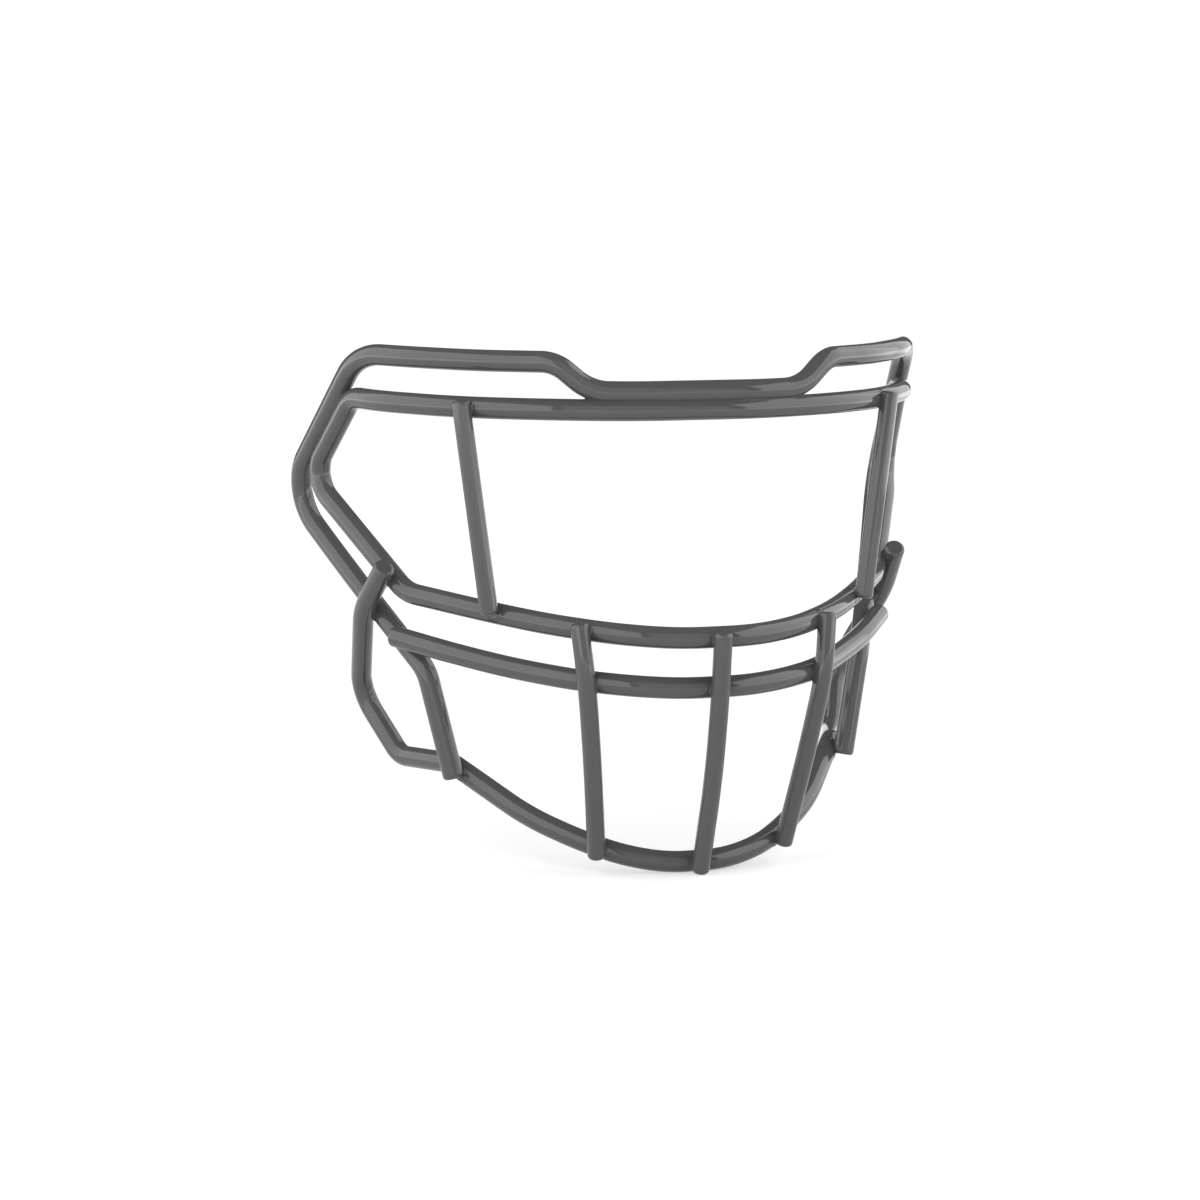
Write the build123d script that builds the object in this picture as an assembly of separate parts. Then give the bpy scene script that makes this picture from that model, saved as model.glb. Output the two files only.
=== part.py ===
"""Face guard of a football helmet: steel wires, bent, welded where they cross, and coated with plastic.

The wearer looks along -Y, +X is on the right of someone who faces the guard, and +Z is up.
The guard is the same on both sides of the middle plane X = 0. Sizes are in millimetres.
"""
from build123d import *
from math import radians, tan
import os

os.makedirs("parts", exist_ok=True)

# Size of the whole guard, over the centre lines of its wires
half_span = 113.0
reach = 120.0
rise = 170.0

# Wire and coat
bar_wire_diameter = 5.4
post_wire_diameter = 4.4
coat_thickness = 0.9
end_rounding = 1.3

# Welds: what two wires leave between them where they cross, and the size of a bead
weld_gap = 0.6
weld_diameter = 3.2

# Posts: how far they stand past the places where they cross their end bars, how far out from the
# middle plane they cross each bar, and how far their free corner bows forwards
eye_post_overhangs = (3.0, -0.9)
front_post_overhangs = (2.8, 0.8)
centre_post_overhangs = (3.0, 1.0)
eye_post_top_across = 76.2
eye_post_foot_across = 67.1
front_post_top_across = 43.6
front_post_middle_across = 41.8
front_post_foot_across = 33.6
front_post_bow = 1.0
centre_post_bow = 2.4

# Corners of each bar from the middle plane outwards: the shares of the half span, of the reach
# behind the front of the eye ring and of the rise over the chin, then the bend radius as a share
# of the coated wire. A corner without a radius is bent as gently as its two runs allow.
brow_corner_shares = [
    (0.195, 0.141, 0.930, None),
    (0.328, 0.158, 0.932, 2.4),
    (0.424, 0.190, 0.989, 1.7),
    (0.619, 0.312, 0.990, 14.0),
    (0.788, 0.466, 0.994, None),
    (0.890, 0.622, 0.997, 3.4),
    (0.994, 1.050, 0.703, 2.3),
    (0.856, 0.800, 0.534, None),
    (0.707, 0.546, 0.366, 1.6),
    (0.636, 0.506, 0.149, None),
]
ring_corner_shares = [
    (0.195, 0.135, 0.895, None),
    (0.442, 0.189, 0.898, None),
    (0.673, 0.333, 0.900, None),
    (0.843, 0.541, 0.905, None),
    (0.892, 0.680, 0.908, 1.5),
    (0.959, 0.912, 0.738, 1.4),
    (0.905, 0.789, 0.675, 8.0),
    (0.763, 0.561, 0.523, 2.2),
    (0.584, 0.338, 0.499, None),
    (0.438, 0.184, 0.482, None),
    (0.274, 0.056, 0.470, None),
    (0.115, -0.006, 0.463, None),
]
middle_corner_shares = [
    (0.097, 0.012, 0.364, None),
    (0.230, 0.047, 0.369, None),
    (0.372, 0.126, 0.377, None),
    (0.513, 0.270, 0.389, None),
    (0.652, 0.410, 0.409, None),
    (0.797, 0.594, 0.434, None),
]
jaw_corner_shares = [
    (0.089, 0.157, 0.002, None),
    (0.217, 0.192, 0.018, None),
    (0.327, 0.260, 0.044, None),
    (0.450, 0.362, 0.082, None),
    (0.622, 0.573, 0.172, 1.4),
    (0.722, 0.779, 0.167, 1.2),
    (0.805, 0.929, 0.288, 1.6),
    (0.859, 0.695, 0.481, 6.0),
    (0.831, 0.555, 0.576, None),
]
# A gentle bend uses this share of the shorter of its two runs on each side of its corner
gentle_share = 0.48
# Where the free corner of a post lies between the middle bar and the jaw bar
post_corner_share = 0.46
# Where the front run of each half bar ends, and where the eye ring's low run starts
front_end_share = 0.45
low_start_share = 0.70
# Places of the beads along the halves of their bars: between brow bar and eye ring, and where the
# jaw bar passes outside the brow bar's cheek run
brow_ring_weld_shares = [0.07, 0.46]
cheek_weld_share = 0.86
# Rounds of the searches for welded places
halvings = 40
approaches = 30
post_rounds = 4

bar_coat_radius = bar_wire_diameter / 2 + coat_thickness
post_coat_radius = post_wire_diameter / 2 + coat_thickness
bar_to_post = (bar_wire_diameter + post_wire_diameter) / 2 + weld_gap
# A bead keeps this far from the open end of a wire's coat
weld_margin = coat_thickness + weld_diameter / 2
forwards = Vector(0, -1, 0)


def other_side(point):
    """The same place on the other side of the middle plane."""
    return Vector(-point.X, point.Y, point.Z)


def corner_points(corner_shares):
    """Corners of a bar's right half, at the guard's size."""
    return [Vector(out * half_span, back * reach, up * rise) for out, back, up, _ in corner_shares]


def gentle_radius(before, corner, after):
    """Radius of the widest bend that the two runs at a corner leave room for."""
    turn = (corner - before).get_angle(after - corner)
    shorter_run = min((corner - before).length, (after - corner).length)
    return gentle_share * shorter_run / tan(radians(turn / 2))


def bend_radii(points, bend_shares):
    """Radius at every inner point of a bent wire."""
    radii = []
    for index, share in enumerate(bend_shares):
        widest = gentle_radius(*points[index:index + 3])
        radii.append(widest if share is None else share * 2 * bar_coat_radius)
    return radii


def half_bar(corner_shares, closed=False):
    """Centre line of a bar's right half, from the middle plane to its end or back to the plane."""
    corners = corner_points(corner_shares)
    bends = [share for *_, share in corner_shares]
    points = [other_side(corners[0])] + corners
    if closed:
        points.append(other_side(corners[-1]))
    else:
        bends.pop()
    radii = bend_radii(points, bends)
    points[0] = (points[0] + points[1]) / 2
    if closed:
        points[-1] = (points[-1] + points[-2]) / 2
    return FilletPolyline(*points, radius=radii)


def square_to(path, at_share, along):
    """Direction that points forwards from a bar, square to the bar and to a post in front of it."""
    side = (path % at_share).cross(along)
    side = side if side.dot(forwards) > 0 else side * -1
    return side.normalized()


def stood_in_front(path, at_share, along):
    """Place on a post's centre line where it is welded to the front of a bar."""
    return path @ at_share + square_to(path, at_share, along) * bar_to_post


def post_place(path, across, low_share, high_share, along):
    """Welded place of a post at a distance from the middle plane, found by halving a stretch."""
    outwards = (path @ high_share).X > (path @ low_share).X
    for _ in range(halvings):
        half_share = (low_share + high_share) / 2
        too_far_in = stood_in_front(path, half_share, along).X < across
        if too_far_in == outwards:
            low_share = half_share
        else:
            high_share = half_share
    return stood_in_front(path, half_share, along)


def lengthened(points, overhangs):
    """A post's points with its top and its foot moved on by their overhangs."""
    past_top, past_foot = overhangs
    top = points[0] + (points[0] - points[1]).normalized() * past_top
    foot = points[-1] + (points[-1] - points[-2]).normalized() * past_foot
    return [top] + points[1:-1] + [foot]


def eye_post_path():
    """Centre line of the right eye post, straight from the ring's top run to its low run."""
    upright = Vector(0, 0, 1)
    for _ in range(post_rounds):
        top = post_place(ring_path, eye_post_top_across, 0, front_end_share, upright)
        foot = post_place(ring_path, eye_post_foot_across, low_start_share, 1, upright)
        upright = (top - foot).normalized()
    return Line(*lengthened([top, foot], eye_post_overhangs))


def front_post_path(top_across, middle_across, foot_across, bow, overhangs):
    """Centre line of a post that is welded to the eye ring, the middle bar and the jaw bar."""
    top_along = foot_along = Vector(0, 0, 1)
    # The bend at the middle bar runs inside its corner, so the corner stands off by what is lacking
    stand_off = Vector(0, 0, 0)
    for _ in range(post_rounds):
        top = post_place(ring_path, top_across, low_start_share, 1, top_along)
        middle_along = (top_along + foot_along).normalized()
        middle = post_place(middle_path, middle_across, 0, 1, middle_along) + stand_off
        foot = post_place(jaw_path, foot_across, 0, front_end_share, foot_along)
        corner = middle + (foot - middle) * post_corner_share + forwards * bow
        top_along = (top - middle).normalized()
        foot_along = (corner - foot).normalized()
        points = lengthened([top, middle, corner, foot], overhangs)
        path = FilletPolyline(*points, radius=bend_radii(points, [None, None]))
        stand_off += forwards * (bar_to_post - path.distance_to(middle_path))
    return path


def round_tube(path, diameter):
    """Solid of round section along a centre line."""
    return sweep(Plane(origin=path @ 0, z_dir=path % 0) * Circle(diameter / 2), path=path)


def with_rounded_end(tube, end):
    """A tube with the rim of its cut end rounded."""
    rim = tube.edges().filter_by(GeomType.CIRCLE).sort_by_distance(end)[0]
    return fillet(rim, end_rounding)


def shortened(path, from_start, from_end):
    """A centre line that stops short of its ends."""
    return Wire(path.edges()).trim(from_start / path.length, 1 - from_end / path.length)


def weld_bead(path_a, path_b, near):
    """Weld metal between two wires, where they pass each other nearest to a place on the first."""
    place_a = near
    for _ in range(approaches):
        place_b = Vertex(*place_a).distance_to_with_closest_points(path_b)[2]
        place_a = Vertex(*place_b).distance_to_with_closest_points(path_a)[2]
    between = place_b - place_a
    foot = Plane(origin=place_a, z_dir=between)
    bead = foot * Cylinder(weld_diameter / 2, between.length, align=(Align.CENTER, Align.CENTER, Align.MIN))
    return bead.cut(*wires.values())


def on_both_sides(right_piece):
    """A piece of the right side together with its mirror image."""
    return [right_piece, mirror(right_piece, about=Plane.YZ)]


def bar_wire(path, open_end=True):
    """Steel wire of a whole bar, made of its right half and the mirror image of it."""
    inner_path = shortened(path, 0, coat_thickness) if open_end else path
    right_half, left_half = on_both_sides(round_tube(inner_path, bar_wire_diameter))
    return right_half + left_half


def bar_cover(path, open_end=True):
    """A whole bar with its coat, as a solid rod."""
    right_half = round_tube(path, 2 * bar_coat_radius)
    if open_end:
        right_half = with_rounded_end(right_half, path @ 1)
    return right_half + mirror(right_half, about=Plane.YZ)


def post_wire(path):
    """Steel wire of a post, covered by the coat at both of its ends."""
    return round_tube(shortened(path, coat_thickness, coat_thickness), post_wire_diameter)


def post_cover(path):
    """A post with its coat, as a solid rod."""
    rod = round_tube(path, 2 * post_coat_radius)
    return with_rounded_end(with_rounded_end(rod, path @ 0), path @ 1)


brow_path = half_bar(brow_corner_shares)
ring_path = half_bar(ring_corner_shares, closed=True)
middle_path = half_bar(middle_corner_shares)
jaw_path = half_bar(jaw_corner_shares)
eye_post = eye_post_path()
front_post = front_post_path(front_post_top_across, front_post_middle_across, front_post_foot_across,
                             front_post_bow, front_post_overhangs)
centre_post = front_post_path(0, 0, 0, centre_post_bow, centre_post_overhangs)

# Steel wires
wires = {
    "eye_ring": bar_wire(ring_path, open_end=False),
    "brow_bar": bar_wire(brow_path),
    "jaw_bar": bar_wire(jaw_path),
    "middle_bar": bar_wire(middle_path),
    "centre_post": post_wire(centre_post),
}
wires["right_eye_post"], wires["left_eye_post"] = on_both_sides(post_wire(eye_post))
wires["right_post"], wires["left_post"] = on_both_sides(post_wire(front_post))

# Rods that the coated wires fill. Where two of them meet, the coat belongs to the first in this list.
covers = {
    "eye_ring": bar_cover(ring_path, open_end=False),
    "brow_bar": bar_cover(brow_path),
    "jaw_bar": bar_cover(jaw_path),
    "middle_bar": bar_cover(middle_path),
    "centre_post": post_cover(centre_post),
}
covers["right_eye_post"], covers["left_eye_post"] = on_both_sides(post_cover(eye_post))
covers["right_post"], covers["left_post"] = on_both_sides(post_cover(front_post))


def post_welds(post_path, crossed_paths):
    """Beads of a post, from its top to its foot."""
    seat = shortened(post_path, weld_margin, weld_margin)
    last = len(crossed_paths) - 1
    return [weld_bead(seat, crossed, seat @ (index / last)) for index, crossed in enumerate(crossed_paths)]


def end_bead(bar_path, crossed_path):
    """Bead between a bar's open end and the bar that it ends on."""
    seat = shortened(bar_path, 0, weld_margin)
    return weld_bead(seat, crossed_path, seat @ 1)


def bar_welds(right_beads):
    """Beads between two bars, on both sides."""
    return [bead for right_bead in right_beads for bead in on_both_sides(right_bead)]


# Welds, one list of beads for each post and each pair of bars
front_bars = [ring_path, middle_path, jaw_path]
eye_post_beads = post_welds(eye_post, [ring_path, ring_path])
front_post_beads = post_welds(front_post, front_bars)
cheek_bead = weld_bead(jaw_path, brow_path, jaw_path @ cheek_weld_share)
welds = {
    "right_eye_post_welds": eye_post_beads,
    "left_eye_post_welds": [mirror(bead, about=Plane.YZ) for bead in eye_post_beads],
    "right_post_welds": front_post_beads,
    "left_post_welds": [mirror(bead, about=Plane.YZ) for bead in front_post_beads],
    "centre_post_welds": post_welds(centre_post, front_bars),
    "brow_ring_welds": bar_welds([weld_bead(brow_path, ring_path, brow_path @ share)
                                  for share in brow_ring_weld_shares]),
    "middle_bar_welds": bar_welds([end_bead(middle_path, brow_path)]),
    "jaw_bar_welds": bar_welds([end_bead(jaw_path, ring_path), cheek_bead, end_bead(brow_path, jaw_path)]),
}
all_beads = [bead for beads in welds.values() for bead in beads]


def cut_in_turn(rod, *groups):
    """A rod without several groups of pieces, cut one group after the other."""
    for group in groups:
        if group:
            rod = rod.cut(*group)
    return rod


def coats():
    """Plastic coats: each rod without the steel inside it and without the rods listed before it."""
    named_coats = {}
    rods_before = []
    for name, rod in covers.items():
        named_coats[name] = cut_in_turn(rod, list(wires.values()), all_beads, rods_before)
        rods_before.append(rod)
    return named_coats


def solids_of(piece):
    """The solids of one node, whichever way they are held."""
    pieces = piece if isinstance(piece, list) else [piece]
    return [solid for single in pieces for solid in single.solids()]


nodes = {f"{name}_wire": wire for name, wire in wires.items()}
nodes.update({f"{name}_coat": coat for name, coat in coats().items()})
nodes.update(welds)

# The origin goes to the middle of the underside of the box round the whole guard
whole = Compound(solids_of(list(covers.values()))).bounding_box()
to_origin = Pos(-(whole.min.X + whole.max.X) / 2, -(whole.min.Y + whole.max.Y) / 2, -whole.min.Z)
for name, piece in nodes.items():
    export_step(to_origin * Compound(solids_of(piece)), f"parts/{name}.step")
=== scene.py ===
"""Looks of a football helmet's face guard: bent steel wire under a dark grey dipped coat."""
import enum
import logging
import math
from dataclasses import dataclass, field

import bpy
import numpy as np
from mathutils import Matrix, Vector


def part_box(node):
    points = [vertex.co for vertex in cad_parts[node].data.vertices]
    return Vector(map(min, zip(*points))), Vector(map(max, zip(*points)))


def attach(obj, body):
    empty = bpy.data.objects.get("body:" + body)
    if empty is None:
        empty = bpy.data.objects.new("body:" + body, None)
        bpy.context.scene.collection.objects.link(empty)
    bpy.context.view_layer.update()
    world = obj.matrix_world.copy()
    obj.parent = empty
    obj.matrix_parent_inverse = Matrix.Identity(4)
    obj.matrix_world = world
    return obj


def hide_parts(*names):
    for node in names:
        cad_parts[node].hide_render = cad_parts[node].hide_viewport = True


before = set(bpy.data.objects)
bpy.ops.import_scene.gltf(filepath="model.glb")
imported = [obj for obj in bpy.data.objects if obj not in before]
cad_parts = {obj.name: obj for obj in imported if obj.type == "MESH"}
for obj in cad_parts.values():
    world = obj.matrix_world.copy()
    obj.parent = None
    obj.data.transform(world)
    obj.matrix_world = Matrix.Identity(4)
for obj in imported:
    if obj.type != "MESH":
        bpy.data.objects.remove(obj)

LOG = logging.getLogger("guard")
MM = 0.001
UP = np.array([0.0, 0.0, 1.0])
FORWARDS = np.array([0.0, -1.0, 0.0])


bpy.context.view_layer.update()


def linear(code: str, alpha: float = 1.0) -> tuple[float, float, float, float]:
    """Turn an sRGB hex colour into the linear colour that a shader takes.

    Args:
        code: Colour as six hex digits.
        alpha: Opacity, from 0 to 1.

    Returns:
        Red, green, blue and opacity.
    """
    parts = [int(code[i:i + 2], 16) / 255 for i in (0, 2, 4)]
    return (*(p / 12.92 if p <= 0.04045 else ((p + 0.055) / 1.055) ** 2.4 for p in parts), alpha)


def unit(vector: np.ndarray) -> np.ndarray:
    """Vector of length one along the last axis."""
    return vector / np.linalg.norm(vector, axis=-1, keepdims=True)


class Ends(enum.Enum):
    """How a coated wire ends."""

    OPEN = "open"
    RING = "ring"


class Side(enum.Enum):
    """Side of the middle plane, as someone who faces the guard sees it."""

    LEFT = -1
    RIGHT = 1


@dataclass(frozen=True)
class Corner:
    """Corner of a bar's right half, in shares of the guard's span, reach and rise."""

    out: float
    back: float
    up: float
    bend: float | None = None


@dataclass(frozen=True)
class GuardSize:
    """Driving sizes of the guard in millimetres, the same as those of the solids."""

    half_span: float = 113.0
    reach: float = 120.0
    rise: float = 170.0
    bar_radius: float = 3.6
    post_radius: float = 3.1
    end_rounding: float = 1.3
    bar_to_post: float = 5.5
    gentle_share: float = 0.48
    post_corner_share: float = 0.46
    eye_post_top_across: float = 76.2
    eye_post_foot_across: float = 67.1
    eye_post_overhangs: tuple[float, float] = (3.0, -0.9)
    front_post_overhangs: tuple[float, float] = (2.8, 0.8)
    centre_post_overhangs: tuple[float, float] = (3.0, 1.0)
    coat_fillet: float = 0.35

    def corner_places(self, corners: list[Corner]) -> list[np.ndarray]:
        """Corners in millimetres."""
        whole = np.array([self.half_span, self.reach, self.rise])
        return [np.array([corner.out, corner.back, corner.up]) * whole for corner in corners]


@dataclass(frozen=True)
class PostCrossings:
    """Where a post crosses its three bars, as distances from the middle plane, and how far it bows."""

    top_across: float
    middle_across: float
    foot_across: float
    bow: float


@dataclass(frozen=True)
class Meshing:
    """How finely the coats are meshed, in millimetres unless it is a count or a share."""

    sides: int = 56
    fine_step: float = 0.35
    coarse_step: float = 0.9
    trace_step: float = 0.4
    stretch_points: int = 16
    probe_step: float = 0.5
    farthest_gap: float = 20.0
    rim_steps: int = 9
    cap_shares: tuple[float, ...] = (0.75, 0.45, 0.15)
    fillet_rounds: int = 12
    fillet_ease: float = 0.7


@dataclass(frozen=True)
class Searching:
    """How finely welded places are searched, and the shares of a whole bar that hold them."""

    places: int = 4001
    rounds: int = 4
    post_points: int = 400
    bar_points: int = 1200
    ring_points: int = 4000
    middle_share: float = 0.5
    ring_front_share: float = 0.225
    ring_low_share: float = 0.35
    jaw_front_share: float = 0.725
    near_post_shares: tuple[float, float] = (0.45, 0.9)


MESHING = Meshing()
SEARCHING = Searching()


@dataclass
class CentreLine:
    """Centre line of a wire: straight runs joined by round bends."""

    corners: list[np.ndarray]
    radii: list[float]
    runs: list[tuple] = field(default_factory=list)

    def __post_init__(self) -> None:
        """Lay the runs and bends out."""
        here = self.corners[0]
        bends = zip(self.corners, self.corners[1:], self.corners[2:], self.radii)
        for before, corner, after, radius in bends:
            into, out_of = unit(corner - before), unit(after - corner)
            turn = math.acos(float(np.clip(into @ out_of, -1, 1)))
            tangent = radius * math.tan(turn / 2)
            start = corner - into * tangent
            inwards = unit(out_of - into * (into @ out_of))
            self.runs.append((float(np.linalg.norm(start - here)), here, into, None, 0.0))
            self.runs.append((radius * turn, start, into, inwards, radius))
            here = corner + out_of * tangent
        last = self.corners[-1] - here
        self.runs.append((float(np.linalg.norm(last)), here, unit(last), None, 0.0))

    @property
    def length(self) -> float:
        """Length from end to end."""
        return sum(run[0] for run in self.runs)

    def at(self, distances: np.ndarray) -> tuple[np.ndarray, np.ndarray]:
        """Places and directions along the line.

        Args:
            distances: Distances from the start.

        Returns:
            Points and unit tangents, one row each.
        """
        points = np.zeros((len(distances), 3))
        tangents = np.zeros_like(points)
        begun = 0.0
        for index, (length, start, along, inwards, radius) in enumerate(self.runs):
            first, last = index == 0, index == len(self.runs) - 1
            inside = (distances >= begun if not first else distances > -1e9)
            inside &= (distances < begun + length if not last else distances < 1e9)
            s = (distances[inside] - begun)[:, None]
            if inwards is None:
                points[inside] = start + along * s
                tangents[inside] = along
            else:
                angle = s / radius
                points[inside] = start + radius * (along * np.sin(angle) + inwards * (1 - np.cos(angle)))
                tangents[inside] = along * np.cos(angle) + inwards * np.sin(angle)
            begun += length
        return points, tangents


def gentle_radius(size: GuardSize, before: np.ndarray, corner: np.ndarray, after: np.ndarray) -> float:
    """Radius of the widest bend that the runs at a corner leave room for."""
    into, out_of = corner - before, after - corner
    turn = math.acos(float(np.clip(unit(into) @ unit(out_of), -1, 1)))
    return size.gentle_share * min(np.linalg.norm(into), np.linalg.norm(out_of)) / math.tan(turn / 2)


def bent_line(size: GuardSize, points: list[np.ndarray], bends: list[float | None]) -> CentreLine:
    """Centre line through corners whose bends are shares of the coated bar, or gentle."""
    radii = []
    for index, bend in enumerate(bends):
        widest = gentle_radius(size, *points[index:index + 3])
        radii.append(widest if bend is None else bend * 2 * size.bar_radius)
    return CentreLine(points, radii)


def whole_bar(size: GuardSize, corners: list[Corner], ends: Ends) -> CentreLine:
    """Centre line of a whole bar, from its left end or from the middle of its top run.

    Args:
        size: Sizes of the guard.
        corners: Corners of the right half.
        ends: Whether the bar is open or a ring.

    Returns:
        The centre line.
    """
    right = size.corner_places(corners)
    mirrored = [place * [-1, 1, 1] for place in right]
    bends = [corner.bend for corner in corners]
    if ends is Ends.OPEN:
        return bent_line(size, mirrored[::-1] + right, bends[:-1][::-1] + bends[:-1])
    middle = right[0] * [0, 1, 1]
    points = [middle, *right, *mirrored[::-1], middle]
    line = bent_line(size, [mirrored[0], *right, *mirrored[::-1], right[0]], bends + bends[::-1])
    return CentreLine(points, line.radii)


class Wire:
    """Coated wire: its centre line, its radius and the mesh of its coat."""

    def __init__(self, name: str, node: str, line: CentreLine, radius: float,
                 ends: Ends = Ends.OPEN) -> None:
        """Keep the wire's shape.

        Args:
            name: Name of the piece in the scene.
            node: Solid that the piece stands for.
            line: Centre line in millimetres.
            radius: Outer radius of the coat in millimetres.
            ends: Whether the wire is open or a ring.
        """
        self.name, self.node, self.line, self.radius, self.ends = name, node, line, radius, ends
        count = int(line.length / MESHING.trace_step) + 1
        self.trace = line.at(np.linspace(0, line.length, count))[0]

    def surface_distance(self, points: np.ndarray, reach: float) -> np.ndarray:
        """Distance of points from this wire's coat, capped at reach.

        Args:
            points: Points in millimetres.
            reach: Largest distance that matters.

        Returns:
            One distance per point, negative inside the coat.
        """
        result = np.full(len(points), reach)
        margin = self.radius + reach
        for first in range(0, len(self.trace) - 1, MESHING.stretch_points):
            stretch = self.trace[first:first + MESHING.stretch_points + 1]
            low, high = stretch.min(axis=0) - margin, stretch.max(axis=0) + margin
            near = np.flatnonzero(np.all((points > low) & (points < high), axis=1))
            if len(near):
                away = self.to_stretch(points[near], stretch) - self.radius
                result[near] = np.minimum(result[near], away)
        return result

    @staticmethod
    def to_stretch(points: np.ndarray, stretch: np.ndarray) -> np.ndarray:
        """Distance of points from a short stretch of a centre line."""
        start, step = stretch[:-1][None], (stretch[1:] - stretch[:-1])[None]
        away = points[:, None, :] - start
        share = np.clip((away * step).sum(axis=2) / (step ** 2).sum(axis=2), 0, 1)
        return np.sqrt(((away - step * share[:, :, None]) ** 2).sum(axis=2).min(axis=1))

    def ring_places(self, size: GuardSize, others: list["Wire"]) -> np.ndarray:
        """Distances along the line for the mesh's rings, close together near other wires."""
        places, here = [0.0], 0.0
        length = self.line.length
        probe = np.arange(0, length + 1, MESHING.probe_step)
        points = self.line.at(np.minimum(probe, length))[0]
        gap = np.full(len(probe), MESHING.farthest_gap)
        for other in others:
            gap = np.minimum(gap, other.surface_distance(points, MESHING.farthest_gap) - self.radius)
        while here < length - MESHING.fine_step:
            close = gap[int(here / MESHING.probe_step)] < 2 * size.coat_fillet
            here += MESHING.fine_step if close else MESHING.coarse_step
            places.append(min(here, length))
        places[-1] = length
        return np.array(places)

    def across(self, tangents: np.ndarray) -> tuple[np.ndarray, np.ndarray]:
        """Two directions square to each tangent that turn along the line without twist."""
        first = np.zeros_like(tangents)
        start = np.cross(tangents[0], UP if abs(tangents[0] @ UP) < 0.9 else FORWARDS)
        for index, tangent in enumerate(tangents):
            start = unit(start - tangent * (start @ tangent))
            first[index] = start
        return first, np.cross(tangents, first)

    def rings(self, size: GuardSize, others: list["Wire"]) -> tuple[np.ndarray, np.ndarray]:
        """Points of the coat and their outward directions, ring by ring."""
        places = self.ring_places(size, others)
        radii = np.full(len(places), self.radius)
        if self.ends is Ends.OPEN:
            rim = size.end_rounding
            turn = np.linspace(0, math.pi / 2, MESHING.rim_steps)
            inset = rim * (1 - np.sin(turn))
            narrow = self.radius - rim * (1 - np.cos(turn))
            keep = (places > rim) & (places < self.line.length - rim)
            cap = narrow[-1] * np.array(MESHING.cap_shares)
            head, head_radii = np.r_[inset, np.zeros(len(cap))], np.r_[narrow, cap]
            places = np.r_[head[::-1], places[keep], self.line.length - head]
            radii = np.r_[head_radii[::-1], radii[keep], head_radii]
        else:
            places, radii = places[:-1], radii[:-1]
        centres, tangents = self.line.at(places)
        first, second = self.across(tangents)
        angles = np.arange(MESHING.sides) * 2 * math.pi / MESHING.sides
        round_way = (np.cos(angles)[None, :, None] * first[:, None, :]
                     + np.sin(angles)[None, :, None] * second[:, None, :])
        return centres[:, None, :] + round_way * radii[:, None, None], round_way

    def filleted(self, size: GuardSize, others: list["Wire"]) -> np.ndarray:
        """Rings of the coat, raised where it runs into the coat of another wire.

        Args:
            size: Sizes of the guard.
            others: The other wires.

        Returns:
            Points as an array of rings.
        """
        points, outwards = self.rings(size, others)
        shape = points.shape
        flat, way = points.reshape(-1, 3), outwards.reshape(-1, 3)
        blend = 2 * size.coat_fillet
        for other in others:
            gap = other.surface_distance(flat, blend)
            near = np.flatnonzero((gap < blend) & (gap > -blend))
            if not len(near):
                continue
            lift = np.zeros(len(near))
            for _ in range(MESHING.fillet_rounds):
                moved = flat[near] + way[near] * lift[:, None]
                theirs = other.surface_distance(moved, 2 * blend)
                overlap = np.maximum(blend - np.abs(lift - theirs), 0) / blend
                joined = np.minimum(lift, theirs) - overlap ** 2 * blend / 4
                lift = np.clip(lift - MESHING.fillet_ease * joined, 0, blend / 3)
            flat[near] += way[near] * lift[:, None]
        return flat.reshape(shape)

    def build(self, size: GuardSize, others: list["Wire"], shift: np.ndarray) -> bpy.types.Object:
        """Make the coat's mesh and put it in place of its solid.

        Args:
            size: Sizes of the guard.
            others: The other wires, whose coats this one runs into.
            shift: Step from the drawing's place to the frame, in millimetres.

        Returns:
            The coat's object.
        """
        points = self.filleted(size, others)
        count, sides = points.shape[:2]
        closed = self.ends is Ends.RING
        turn = self.seam_turn(points) if closed else 0
        place = np.arange(sides)
        faces = []
        for i in range(count if closed else count - 1):
            here, there = i * sides, (i + 1) % count * sides
            slip = turn if closed and i == count - 1 else 0
            beside = (place + 1) % sides
            faces.append(np.stack([here + place, here + beside, there + (beside + slip) % sides,
                                   there + (place + slip) % sides], axis=1))
        quads = np.concatenate(faces).tolist()
        if not closed:
            quads += [place[::-1].tolist(), ((count - 1) * sides + place).tolist()]
        mesh = bpy.data.meshes.new(self.name)
        mesh.from_pydata(((points.reshape(-1, 3) + shift) * MM).tolist(), [], quads)
        mesh.shade_smooth()
        piece = bpy.data.objects.new(self.name, mesh)
        bpy.context.scene.collection.objects.link(piece)
        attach(piece, "root")
        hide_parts(self.node)
        return piece

    @staticmethod
    def seam_turn(points: np.ndarray) -> int:
        """How many places the last ring of a closed wire is turned against the first."""
        gaps = np.linalg.norm(points[0] - points[-1][0], axis=1)
        return int(np.argmin(gaps))


def add_node(tree: bpy.types.NodeTree, kind: str, settings: dict | None = None,
             inputs: dict | None = None, links: dict | None = None) -> bpy.types.Node:
    """Add a shader node with its settings, input values and incoming links.

    Args:
        tree: Node tree that gets the node.
        kind: Blender's name for the kind of node.
        settings: Properties of the node.
        inputs: Values of its input sockets.
        links: Output sockets that feed its input sockets.

    Returns:
        The new node.
    """
    node = tree.nodes.new(kind)
    for name, value in (settings or {}).items():
        setattr(node, name, value)
    for name, value in (inputs or {}).items():
        node.inputs[name].default_value = value
    for name, socket in (links or {}).items():
        tree.links.new(socket, node.inputs[name])
    return node


def fresh_material(name: str) -> tuple[bpy.types.Material, bpy.types.NodeTree]:
    """Make an empty node material."""
    material = bpy.data.materials.new(name)
    material.use_nodes = True
    material.node_tree.nodes.clear()
    return material, material.node_tree


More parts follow.
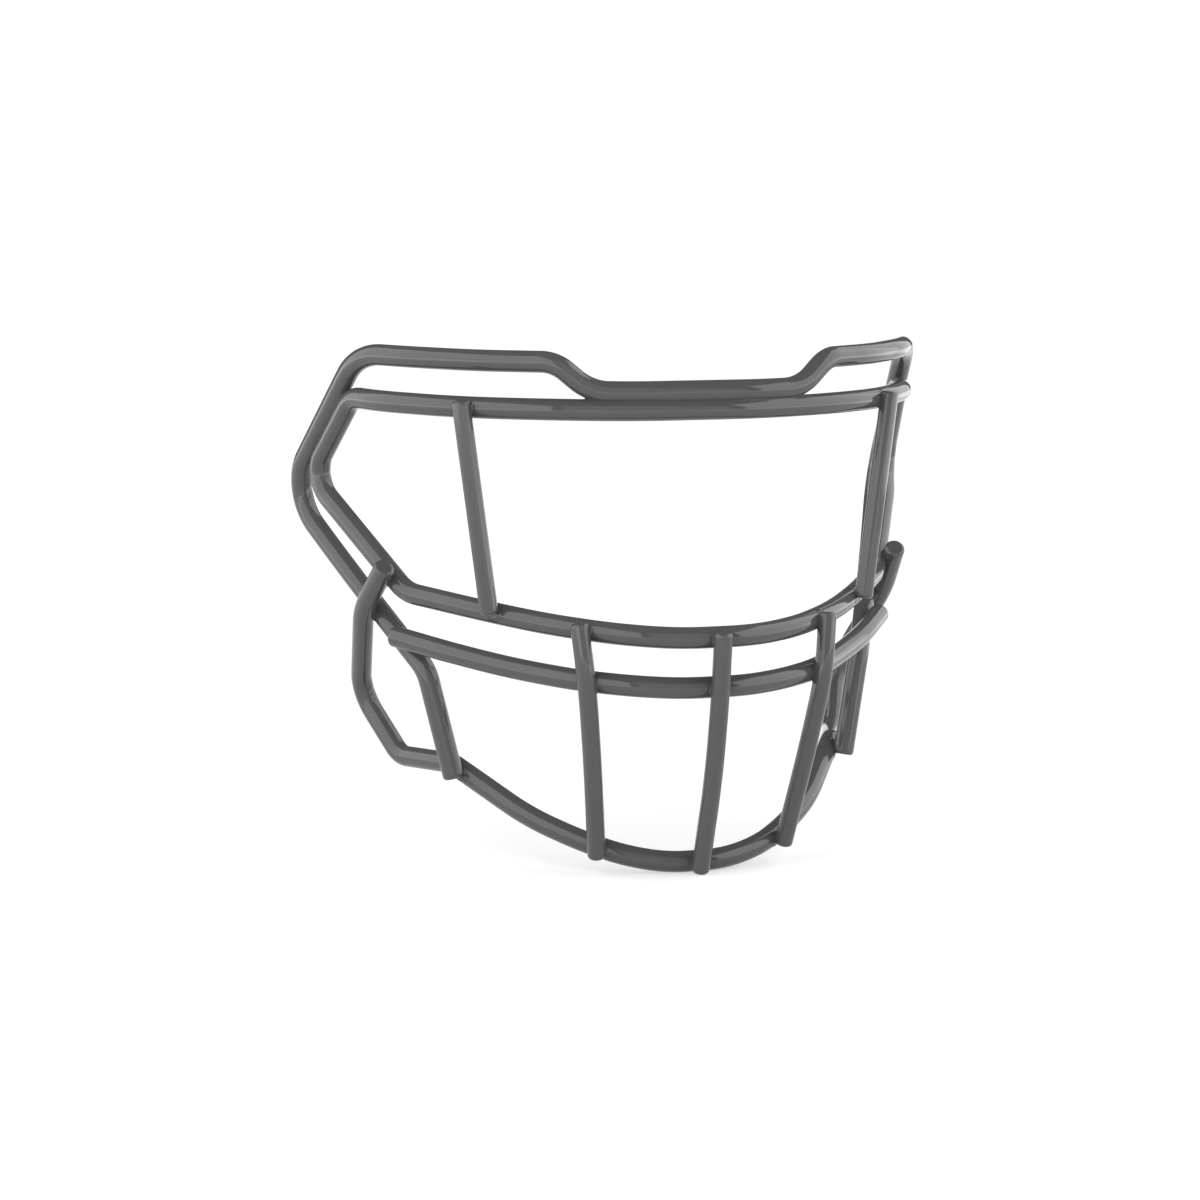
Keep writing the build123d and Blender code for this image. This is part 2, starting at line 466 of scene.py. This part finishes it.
@dataclass(frozen=True)
class DippedCoat:
    """Fluidised-bed nylon coat, dipped over hot wire.

    It flows while it sets, so the eye sees one smooth dark grey skin that mirrors the soft boxes
    as pale bands.
    """

    colour: str = "545455"
    dull: str = "4e4e50"
    roughness: float = 0.07
    ior: float = 1.5
    ripple_mm: float = 9.0
    ripple_depth_mm: float = 0.0015
    ripple_strength: float = 0.3
    cloud_mm: float = 35.0

    def material(self) -> bpy.types.Material:
        """Build the coat's material."""
        material, tree = fresh_material("dipped_nylon_coat")
        place = add_node(tree, "ShaderNodeTexCoord").outputs["Object"]
        ripple = add_node(tree, "ShaderNodeTexNoise", {},
                          {"Scale": 1 / (self.ripple_mm * MM), "Detail": 2.0, "Roughness": 0.4},
                          {"Vector": place})
        cloud = add_node(tree, "ShaderNodeTexNoise", {},
                         {"Scale": 1 / (self.cloud_mm * MM), "Detail": 3.0}, {"Vector": place})
        tone = add_node(tree, "ShaderNodeMix", {"data_type": "RGBA"},
                        {"A": linear(self.colour), "B": linear(self.dull)},
                        {"Factor": cloud.outputs["Fac"]})
        bump = add_node(tree, "ShaderNodeBump", {},
                        {"Strength": self.ripple_strength, "Distance": self.ripple_depth_mm * MM},
                        {"Height": ripple.outputs["Fac"]})
        shader = add_node(tree, "ShaderNodeBsdfPrincipled", {},
                          {"Roughness": self.roughness, "IOR": self.ior},
                          {"Base Color": tone.outputs["Result"], "Normal": bump.outputs["Normal"]})
        add_node(tree, "ShaderNodeOutputMaterial", {}, {}, {"Surface": shader.outputs["BSDF"]})
        return material


@dataclass(frozen=True)
class DrawnSteel:
    """Low-carbon steel, drawn to wire or laid as weld metal: the eye sees dull grey metal with fine grain."""

    name: str = "drawn_steel_wire"
    colour: str = "b4b2ae"
    roughness: float = 0.38
    grain_mm: float = 0.3
    smoother: float = 0.06
    rougher: float = 0.1

    def material(self) -> bpy.types.Material:
        """Build the metal's material."""
        material, tree = fresh_material(self.name)
        place = add_node(tree, "ShaderNodeTexCoord").outputs["Object"]
        grain = add_node(tree, "ShaderNodeTexNoise", {},
                         {"Scale": 1 / (self.grain_mm * MM), "Detail": 2.0}, {"Vector": place})
        rough = add_node(tree, "ShaderNodeMapRange", {},
                         {"To Min": self.roughness - self.smoother, "To Max": self.roughness + self.rougher},
                         {"Value": grain.outputs["Fac"]})
        shader = add_node(tree, "ShaderNodeBsdfPrincipled", {},
                          {"Base Color": linear(self.colour), "Metallic": 1.0},
                          {"Roughness": rough.outputs["Result"]})
        add_node(tree, "ShaderNodeOutputMaterial", {}, {}, {"Surface": shader.outputs["BSDF"]})
        return material


@dataclass
class Guard:
    """The whole guard: its sizes, its bars and its posts."""

    size: GuardSize = field(default_factory=GuardSize)
    brow_corners: list[Corner] = field(default_factory=lambda: [
        Corner(0.195, 0.141, 0.930), Corner(0.328, 0.158, 0.932, 2.4), Corner(0.424, 0.190, 0.989, 1.7),
        Corner(0.619, 0.312, 0.990, 14.0), Corner(0.788, 0.466, 0.994), Corner(0.890, 0.622, 0.997, 3.4),
        Corner(0.994, 1.050, 0.703, 2.3), Corner(0.856, 0.800, 0.534), Corner(0.707, 0.546, 0.366, 1.6),
        Corner(0.636, 0.506, 0.149)])
    ring_corners: list[Corner] = field(default_factory=lambda: [
        Corner(0.195, 0.135, 0.895), Corner(0.442, 0.189, 0.898), Corner(0.673, 0.333, 0.900),
        Corner(0.843, 0.541, 0.905), Corner(0.892, 0.680, 0.908, 1.5), Corner(0.959, 0.912, 0.738, 1.4),
        Corner(0.905, 0.789, 0.675, 8.0), Corner(0.763, 0.561, 0.523, 2.2), Corner(0.584, 0.338, 0.499),
        Corner(0.438, 0.184, 0.482), Corner(0.274, 0.056, 0.470), Corner(0.115, -0.006, 0.463)])
    middle_corners: list[Corner] = field(default_factory=lambda: [
        Corner(0.097, 0.012, 0.364), Corner(0.230, 0.047, 0.369), Corner(0.372, 0.126, 0.377),
        Corner(0.513, 0.270, 0.389), Corner(0.652, 0.410, 0.409), Corner(0.797, 0.594, 0.434)])
    jaw_corners: list[Corner] = field(default_factory=lambda: [
        Corner(0.089, 0.157, 0.002), Corner(0.217, 0.192, 0.018), Corner(0.327, 0.260, 0.044),
        Corner(0.450, 0.362, 0.082), Corner(0.622, 0.573, 0.172, 1.4), Corner(0.722, 0.779, 0.167, 1.2),
        Corner(0.805, 0.929, 0.288, 1.6), Corner(0.859, 0.695, 0.481, 6.0), Corner(0.831, 0.555, 0.576)])

    side_crossings: PostCrossings = PostCrossings(43.6, 41.8, 33.6, 1.0)
    centre_crossings: PostCrossings = PostCrossings(0.0, 0.0, 0.0, 2.4)

    def __post_init__(self) -> None:
        """Lay out the bars, which the posts are then stood against."""
        size = self.size
        self.brow = whole_bar(size, self.brow_corners, Ends.OPEN)
        self.ring = whole_bar(size, self.ring_corners, Ends.RING)
        self.middle = whole_bar(size, self.middle_corners, Ends.OPEN)
        self.jaw = whole_bar(size, self.jaw_corners, Ends.OPEN)

    def crossing(self, bar: CentreLine, across: float, along: np.ndarray, low: float,
                 high: float) -> np.ndarray:
        """Place of a post's centre line where it is welded to the front of a bar.

        Args:
            bar: The bar's centre line.
            across: Distance of the place from the middle plane.
            along: Direction of the post.
            low: Share of the bar where the searched stretch starts.
            high: Share where it ends.

        Returns:
            The place in millimetres.
        """
        probe = np.linspace(bar.length * low, bar.length * high, SEARCHING.places)
        points, tangents = bar.at(probe)
        forth = np.cross(tangents, along)
        forth = unit(forth * np.where(forth[:, 1] > 0, -1, 1)[:, None])
        places = points + forth * self.size.bar_to_post
        return places[int(np.argmin(np.abs(places[:, 0] - across)))]

    def eye_post(self, side: Side) -> CentreLine:
        """Centre line of an eye post, from the ring's top run to its low run."""
        size, find, upright = self.size, SEARCHING, UP
        past_top, past_foot = size.eye_post_overhangs
        for _ in range(find.rounds):
            top = self.crossing(self.ring, size.eye_post_top_across, upright, 0, find.ring_front_share)
            foot = self.crossing(self.ring, size.eye_post_foot_across, upright, find.ring_low_share,
                                 find.middle_share)
            upright = unit(top - foot)
        points = [top + upright * past_top, foot - upright * past_foot]
        return CentreLine([point * [side.value, 1, 1] for point in points], [])

    def front_post(self, crossings: PostCrossings, overhangs: tuple[float, float], side: Side) -> CentreLine:
        """Centre line of a post that crosses the ring's low run, the middle bar and the jaw bar.

        Args:
            crossings: Where the post crosses the bars, and its bow.
            overhangs: Lengths past the first and the last crossing.
            side: Side of the guard.

        Returns:
            The centre line.
        """
        size, find = self.size, SEARCHING
        past_top, past_foot = overhangs
        near = [self.middle.length * share for share in find.near_post_shares]
        bar = self.middle.at(np.linspace(*near, find.bar_points))[0]
        top_along = foot_along = UP
        stand_off = np.zeros(3)
        for _ in range(find.rounds):
            high = self.crossing(self.ring, crossings.top_across, top_along, find.ring_low_share,
                                 find.middle_share)
            mid = self.crossing(self.middle, crossings.middle_across, unit(top_along + foot_along),
                                find.middle_share, 1)
            mid = mid + stand_off
            low = self.crossing(self.jaw, crossings.foot_across, foot_along, find.middle_share,
                                find.jaw_front_share)
            corner = mid + (low - mid) * size.post_corner_share + FORWARDS * crossings.bow
            top_along, foot_along = unit(high - mid), unit(corner - low)
            points = [high + top_along * past_top, mid, corner, low - foot_along * past_foot]
            line = bent_line(size, points, [None, None])
            trace = line.at(np.linspace(0, line.length, find.post_points))[0]
            nearest = np.sqrt(((trace[:, None] - bar[None]) ** 2).sum(axis=2)).min()
            stand_off = stand_off + FORWARDS * (size.bar_to_post - nearest)
        points = [point * [side.value, 1, 1] for point in points]
        return CentreLine(points, line.radii)

    def wires(self) -> list[Wire]:
        """All coated wires, bars first."""
        size = self.size
        bar, post = size.bar_radius, size.post_radius
        pieces = [Wire("eye_ring_skin", "eye_ring_coat", self.ring, bar, Ends.RING),
                  Wire("brow_bar_skin", "brow_bar_coat", self.brow, bar),
                  Wire("jaw_bar_skin", "jaw_bar_coat", self.jaw, bar),
                  Wire("middle_bar_skin", "middle_bar_coat", self.middle, bar)]
        for side in Side:
            word = side.name.lower()
            line = self.eye_post(side)
            pieces.append(Wire(f"{word}_eye_post_skin", f"{word}_eye_post_coat", line, post))
            line = self.front_post(self.side_crossings, size.front_post_overhangs, side)
            pieces.append(Wire(f"{word}_post_skin", f"{word}_post_coat", line, post))
        line = self.front_post(self.centre_crossings, size.centre_post_overhangs, Side.RIGHT)
        pieces.append(Wire("centre_post_skin", "centre_post_coat", line, post))
        return pieces

    def shift(self) -> np.ndarray:
        """Step from the drawing's place to the frame, read from the eye ring's coat."""
        low, high = (np.array(corner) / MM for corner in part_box("eye_ring_coat"))
        trace = self.ring.at(np.linspace(0, self.ring.length, SEARCHING.ring_points))[0]
        return np.array([0.0, high[1] - trace[:, 1].max() - self.size.bar_radius,
                         high[2] - trace[:, 2].max() - self.size.bar_radius])

    def build(self) -> list[bpy.types.Object]:
        """Make every coat and dress the solids inside them."""
        shift = self.shift()
        wires = self.wires()
        coat = DippedCoat().material()
        pieces = []
        for wire in wires:
            piece = wire.build(self.size, [other for other in wires if other is not wire], shift)
            piece.data.materials.append(coat)
            pieces.append(piece)
            LOG.info("%s: %d points", wire.name, len(piece.data.vertices))
        steel = DrawnSteel().material()
        bead = DrawnSteel("weld_metal_as_laid", colour="9d9a94", roughness=0.5, grain_mm=0.6).material()
        for name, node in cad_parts.items():
            if name.endswith("_coat"):
                continue
            metal = bead if name.endswith("_welds") else steel
            node.data.materials.clear()
            node.data.materials.append(metal)
            LOG.info("%s: %s", name, metal.name)
        return pieces


@dataclass(frozen=True)
class SeamlessPaper:
    """Seamless studio paper, calendered: matt and even, so the eye sees plain white under a soft shadow."""

    name: str
    colour: str = "c6c6c6"
    fibre_colour: str = "cacaca"
    fibre_mm: float = 2.0
    near_glow: float = 0.55
    far_glow: float = 0.95
    near_m: float = 0.25
    far_m: float = 1.3

    def material(self) -> bpy.types.Material:
        """Build paper that the camera, glossy rays and clear things see as white."""
        material, tree = fresh_material(self.name)
        place = add_node(tree, "ShaderNodeTexCoord").outputs["Object"]
        away = add_node(tree, "ShaderNodeVectorMath", {"operation": "LENGTH"}, {}, {"Vector": place})
        glow = add_node(tree, "ShaderNodeMapRange", {"interpolation_type": "SMOOTHSTEP"},
                        {"From Min": self.near_m, "From Max": self.far_m, "To Min": self.near_glow,
                         "To Max": self.far_glow}, {"Value": away.outputs["Value"]})
        path = add_node(tree, "ShaderNodeLightPath")
        seen = add_node(tree, "ShaderNodeMath", {"operation": "MAXIMUM"}, {},
                        {0: path.outputs["Is Camera Ray"], 1: path.outputs["Is Glossy Ray"]})
        seen = add_node(tree, "ShaderNodeMath", {"operation": "MAXIMUM"}, {},
                        {0: seen.outputs["Value"], 1: path.outputs["Is Transmission Ray"]})
        strength = add_node(tree, "ShaderNodeMath", {"operation": "MULTIPLY"}, {},
                            {0: seen.outputs["Value"], 1: glow.outputs["Result"]})
        fibre = add_node(tree, "ShaderNodeTexNoise", {},
                         {"Scale": 1 / (self.fibre_mm * MM)}, {"Vector": place})
        tone = add_node(tree, "ShaderNodeMix", {"data_type": "RGBA"},
                        {"A": linear(self.colour), "B": linear(self.fibre_colour)},
                        {"Factor": fibre.outputs["Fac"]})
        matt = add_node(tree, "ShaderNodeBsdfDiffuse", {}, {}, {"Color": tone.outputs["Result"]})
        light = add_node(tree, "ShaderNodeEmission", {}, {"Color": (1, 1, 1, 1)},
                         {"Strength": strength.outputs["Value"]})
        both = add_node(tree, "ShaderNodeAddShader", {}, {},
                        {0: matt.outputs["BSDF"], 1: light.outputs["Emission"]})
        add_node(tree, "ShaderNodeOutputMaterial", {}, {}, {"Surface": both.outputs["Shader"]})
        return material


@dataclass(frozen=True)
class Lamp:
    """Soft box: where it stands, how large it is and how bright its cloth is."""

    name: str
    place: tuple[float, float, float]
    target: tuple[float, float, float]
    width: float
    height: float
    brightness: float

    @property
    def watts(self) -> float:
        """Power that gives the cloth its brightness."""
        return self.brightness * math.pi * self.width * self.height

    def build(self) -> None:
        """Hang the lamp."""
        data = bpy.data.lights.new(self.name, "AREA")
        data.shape, data.energy = "RECTANGLE", self.watts
        data.size, data.size_y = self.width, self.height
        box = bpy.data.objects.new(self.name, data)
        box.location = self.place
        way = Vector(self.target) - box.location
        box.rotation_euler = way.to_track_quat("-Z", "Y").to_euler()
        box.visible_camera = False
        bpy.context.scene.collection.objects.link(box)
        LOG.info("%s: %.1f W", self.name, self.watts)


@dataclass
class Studio:
    """White paper floor and backdrop card between two large soft boxes, in dim surroundings."""

    lamps: list[Lamp] = field(default_factory=lambda: [
        Lamp("left_wall_box", (-0.72, -0.28, 0.67), (0.0, -0.28, 0.67), 2.16, 1.34, 1.98),
        Lamp("right_wall_box", (0.72, -0.53, 0.66), (0.0, -0.53, 0.66), 1.64, 1.28, 2.15),
        Lamp("right_rear_box", (0.72, 0.5, 0.45), (0.0, 0.5, 0.45), 0.42, 0.9, 1.3),
        Lamp("front_box", (0.0, -1.4, 0.8), (0.0, 0.0, 0.8), 1.2, 1.6, 0.7),
    ])
    surroundings: str = "606060"
    floor_side: float = 24.0
    card_centre: tuple[float, float] = (0.98, 2.84)
    card_width: float = 1.6
    card_height: float = 0.52

    def sheet(self, name: str, corners: list[tuple[float, ...]], paper: SeamlessPaper) -> None:
        """Lay a flat sheet of paper.

        Args:
            name: Name of the sheet.
            corners: Its four corners in metres.
            paper: Its finish.
        """
        mesh = bpy.data.meshes.new(name)
        mesh.from_pydata(corners, [], [(0, 1, 2, 3)])
        sheet = bpy.data.objects.new(name, mesh)
        bpy.context.scene.collection.objects.link(sheet)
        mesh.materials.append(paper.material())

    def paper(self) -> None:
        """Lay the floor, and stand the card square to the photograph's line of sight."""
        half = self.floor_side / 2
        self.sheet("floor", [(-half, -half, 0), (half, -half, 0), (half, half, 0), (-half, half, 0)],
                   SeamlessPaper("calendered_floor_paper"))
        turn = math.radians(PhotoCamera.turn)
        across = np.array([math.cos(turn), math.sin(turn)]) * self.card_width / 2
        centre, top = np.array(self.card_centre), self.card_height
        left, right = centre - across, centre + across
        self.sheet("backdrop_card", [(*left, 0), (*right, 0), (*right, top), (*left, top)],
                   SeamlessPaper("calendered_card_paper"))

    def world(self) -> None:
        """Give even, dim surroundings."""
        world = bpy.data.worlds.new("studio")
        world.use_nodes = True
        bpy.context.scene.world = world
        tree = world.node_tree
        tree.nodes.clear()
        back = add_node(tree, "ShaderNodeBackground", {},
                        {"Color": linear(self.surroundings), "Strength": 1.0})
        add_node(tree, "ShaderNodeOutputWorld", {}, {}, {"Surface": back.outputs["Background"]})

    def build(self) -> None:
        """Set the studio up."""
        self.paper()
        self.world()
        for lamp in self.lamps:
            lamp.build()


@dataclass(frozen=True)
class PhotoCamera:
    """Camera at the photograph's place, in millimetres of the guard's drawing."""

    place: tuple[float, float, float] = (-366.55, -946.54, 219.79)
    turn: float = -19.02
    tilt: float = 82.754
    lens: float = 93.9
    sensor: float = 36.0
    nearest_m: float = 0.01
    farthest_m: float = 50.0

    def build(self, shift: np.ndarray) -> None:
        """Put the camera up.

        Args:
            shift: Step from the drawing's place to the frame, in millimetres.
        """
        data = bpy.data.cameras.new("photo_camera")
        data.sensor_width, data.lens = self.sensor, self.lens
        data.clip_start, data.clip_end = self.nearest_m, self.farthest_m
        camera = bpy.data.objects.new("photo_camera", data)
        camera.location = (np.array(self.place) + shift) * MM
        camera.rotation_euler = (math.radians(self.tilt), 0.0, math.radians(self.turn))
        bpy.context.scene.collection.objects.link(camera)
        bpy.context.scene.camera = camera


def main() -> None:
    """Build the guard, the studio and the camera."""
    logging.basicConfig(level=logging.INFO, format="%(message)s")
    bpy.context.scene.view_settings.view_transform = "Standard"
    guard = Guard()
    guard.build()
    Studio().build()
    PhotoCamera().build(guard.shift())


if __name__ == "__main__":
    main()
